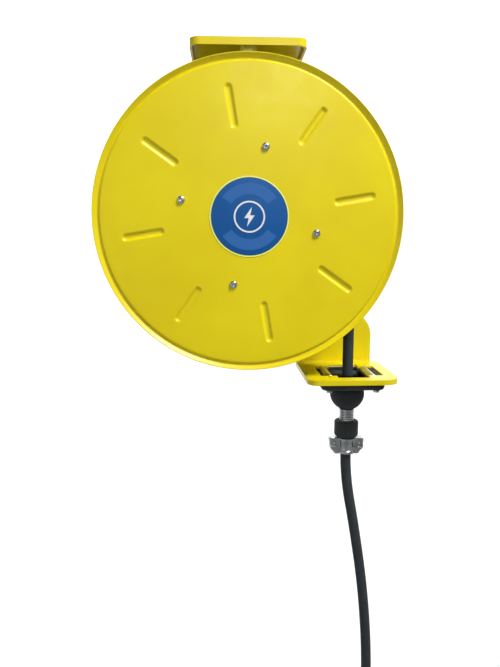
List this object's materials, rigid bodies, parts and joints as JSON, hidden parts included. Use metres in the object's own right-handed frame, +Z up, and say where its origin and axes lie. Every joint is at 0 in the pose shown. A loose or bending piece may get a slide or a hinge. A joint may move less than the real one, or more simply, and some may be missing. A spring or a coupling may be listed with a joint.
{
  "type": "retractable extension cord reel",
  "caption": "Ceiling-mounted retractable cord reel: pressed end discs on a bent bracket, cord through a roller guide to a ball stop, cord clamp and hanging outlet box.",
  "frame": {"origin": "centre of the mounting base's ceiling face", "axes": "+Z up, against the ceiling; -Y towards the labelled front disc; the cord leaves on the +X side"},
  "size_m": [0.3925, 0.169, 1.0739],
  "materials": {
    "reel_yellow": "yellow powder coat",
    "label_blue": "printed vinyl",
    "zinc": "zinc plated",
    "steel": "bright steel",
    "spring_steel": "blued spring steel",
    "painted_bolt": "yellow powder coat over zinc",
    "core_steel": "grey primer",
    "cast_hub": "die cast",
    "copper_ring": "turned",
    "carbon": "sintered carbon",
    "insulator": "moulded phenolic",
    "black_nylon": "moulded nylon",
    "cord_jacket": "rubber cord jacket",
    "stop_rubber": "moulded rubber",
    "box_yellow": "moulded thermoplastic rubber",
    "box_blue": "moulded polycarbonate",
    "gasket_orange": "moulded seal",
    "device_brown": "moulded nylon",
    "button_black": "moulded",
    "button_red": "moulded"
  },
  "bodies": {
    "frame": {"mounting_base": "reel_yellow", "base_nuts": "painted_bolt", "frame_upright": "reel_yellow", "guide_arm": "reel_yellow", "arm_bolts": "zinc", "main_shaft": "steel", "shaft_nut": "zinc", "inlet_gland": "black_nylon", "spring_arbor": "steel", "ring_sleeve": "insulator", "collector_rings": "copper_ring", "pawl_pin": "zinc", "pawl_spring": "spring_steel", "roller_housing": "black_nylon", "housing_screws": "zinc", "roller_pins": "steel", "cord_run": "cord_jacket"},
    "drum": {"front_disc": "reel_yellow", "rear_disc": "reel_yellow", "drum_core": "core_steel", "front_hub": "cast_hub", "rear_hub": "cast_hub", "front_bearing": "steel", "rear_bearing": "steel", "spring_case": "core_steel", "spring_lid": "core_steel", "mainspring": "spring_steel", "ratchet_wheel": "zinc", "brush_holder": "insulator", "brushes": "carbon", "cord_anchor": "black_nylon", "cord_winding": "cord_jacket", "front_screws": "zinc", "rear_screws": "zinc", "drum_label": "label_blue"},
    "cord_end": {"cord_through": "cord_jacket", "ball_stop": "stop_rubber", "stop_nipple": "zinc", "stop_sleeve": "black_nylon", "clamp_front": "zinc", "clamp_back": "zinc", "clamp_screws": "zinc", "pigtail_cord": "cord_jacket", "box_clamp_front": "box_blue", "box_clamp_back": "box_blue", "box_clamp_screws": "zinc", "box_gasket": "gasket_orange", "box_cord": "cord_jacket", "outlet_box": "box_yellow", "outlet_cover": "box_blue", "cover_screws": "copper_ring", "receptacle": "device_brown", "device_ears": "zinc"},
    "pawl_lever": {"pawl": "zinc"},
    "left_roller": {"roller_left": "steel"},
    "right_roller": {"roller_right": "steel"},
    "front_roller": {"roller_front": "black_nylon"},
    "back_roller": {"roller_back": "black_nylon"},
    "test_key": {"test_button": "button_black"},
    "reset_key": {"reset_button": "button_red"}
  },
  "joints": [
    {"name": "drum_spin", "type": "hinge", "parent": "frame", "child": "drum", "pos_m": [0, -0.02, -0.205], "axis": [0, 1, 0], "range_deg": [0, 720], "stiffness_Nm_per_rad": 0.3, "springref_deg": -802.14},
    {"name": "cord_pull", "type": "slide", "parent": "frame", "child": "cord_end", "axis": [0, 0, -1], "range_m": [0, 1.65], "deforming": ["cord_run"]},
    {"name": "pawl_pivot", "type": "hinge", "parent": "frame", "child": "pawl_lever", "pos_m": [-0.045, 0.0325, -0.128], "axis": [0, 1, 0], "range_deg": [0, 11], "stiffness_Nm_per_rad": 0.04, "springref_deg": -34.38},
    {"name": "left_roller_spin", "type": "hinge", "parent": "frame", "child": "left_roller", "pos_m": [0.10325, -0.02, -0.407], "axis": [0, 1, 0], "continuous": true},
    {"name": "right_roller_spin", "type": "hinge", "parent": "frame", "child": "right_roller", "pos_m": [0.15925, -0.02, -0.407], "axis": [0, 1, 0], "continuous": true},
    {"name": "front_roller_spin", "type": "hinge", "parent": "frame", "child": "front_roller", "pos_m": [0.13125, -0.051, -0.412], "axis": [1, 0, 0], "continuous": true},
    {"name": "back_roller_spin", "type": "hinge", "parent": "frame", "child": "back_roller", "pos_m": [0.13125, 0.011, -0.412], "axis": [1, 0, 0], "continuous": true},
    {"name": "test_press", "type": "slide", "parent": "cord_end", "child": "test_key", "axis": [0, 1, 0], "range_m": [0, 0.0012], "stiffness_N_per_m": 1500, "springref_m": -0.001},
    {"name": "reset_press", "type": "slide", "parent": "cord_end", "child": "reset_key", "axis": [0, 1, 0], "range_m": [0, 0.0012], "stiffness_N_per_m": 1500, "springref_m": -0.001}
  ],
  "couplings": [
    {"joint": "cord_pull", "follows": "drum_spin", "m_per_rad": 0.13125}
  ]
}
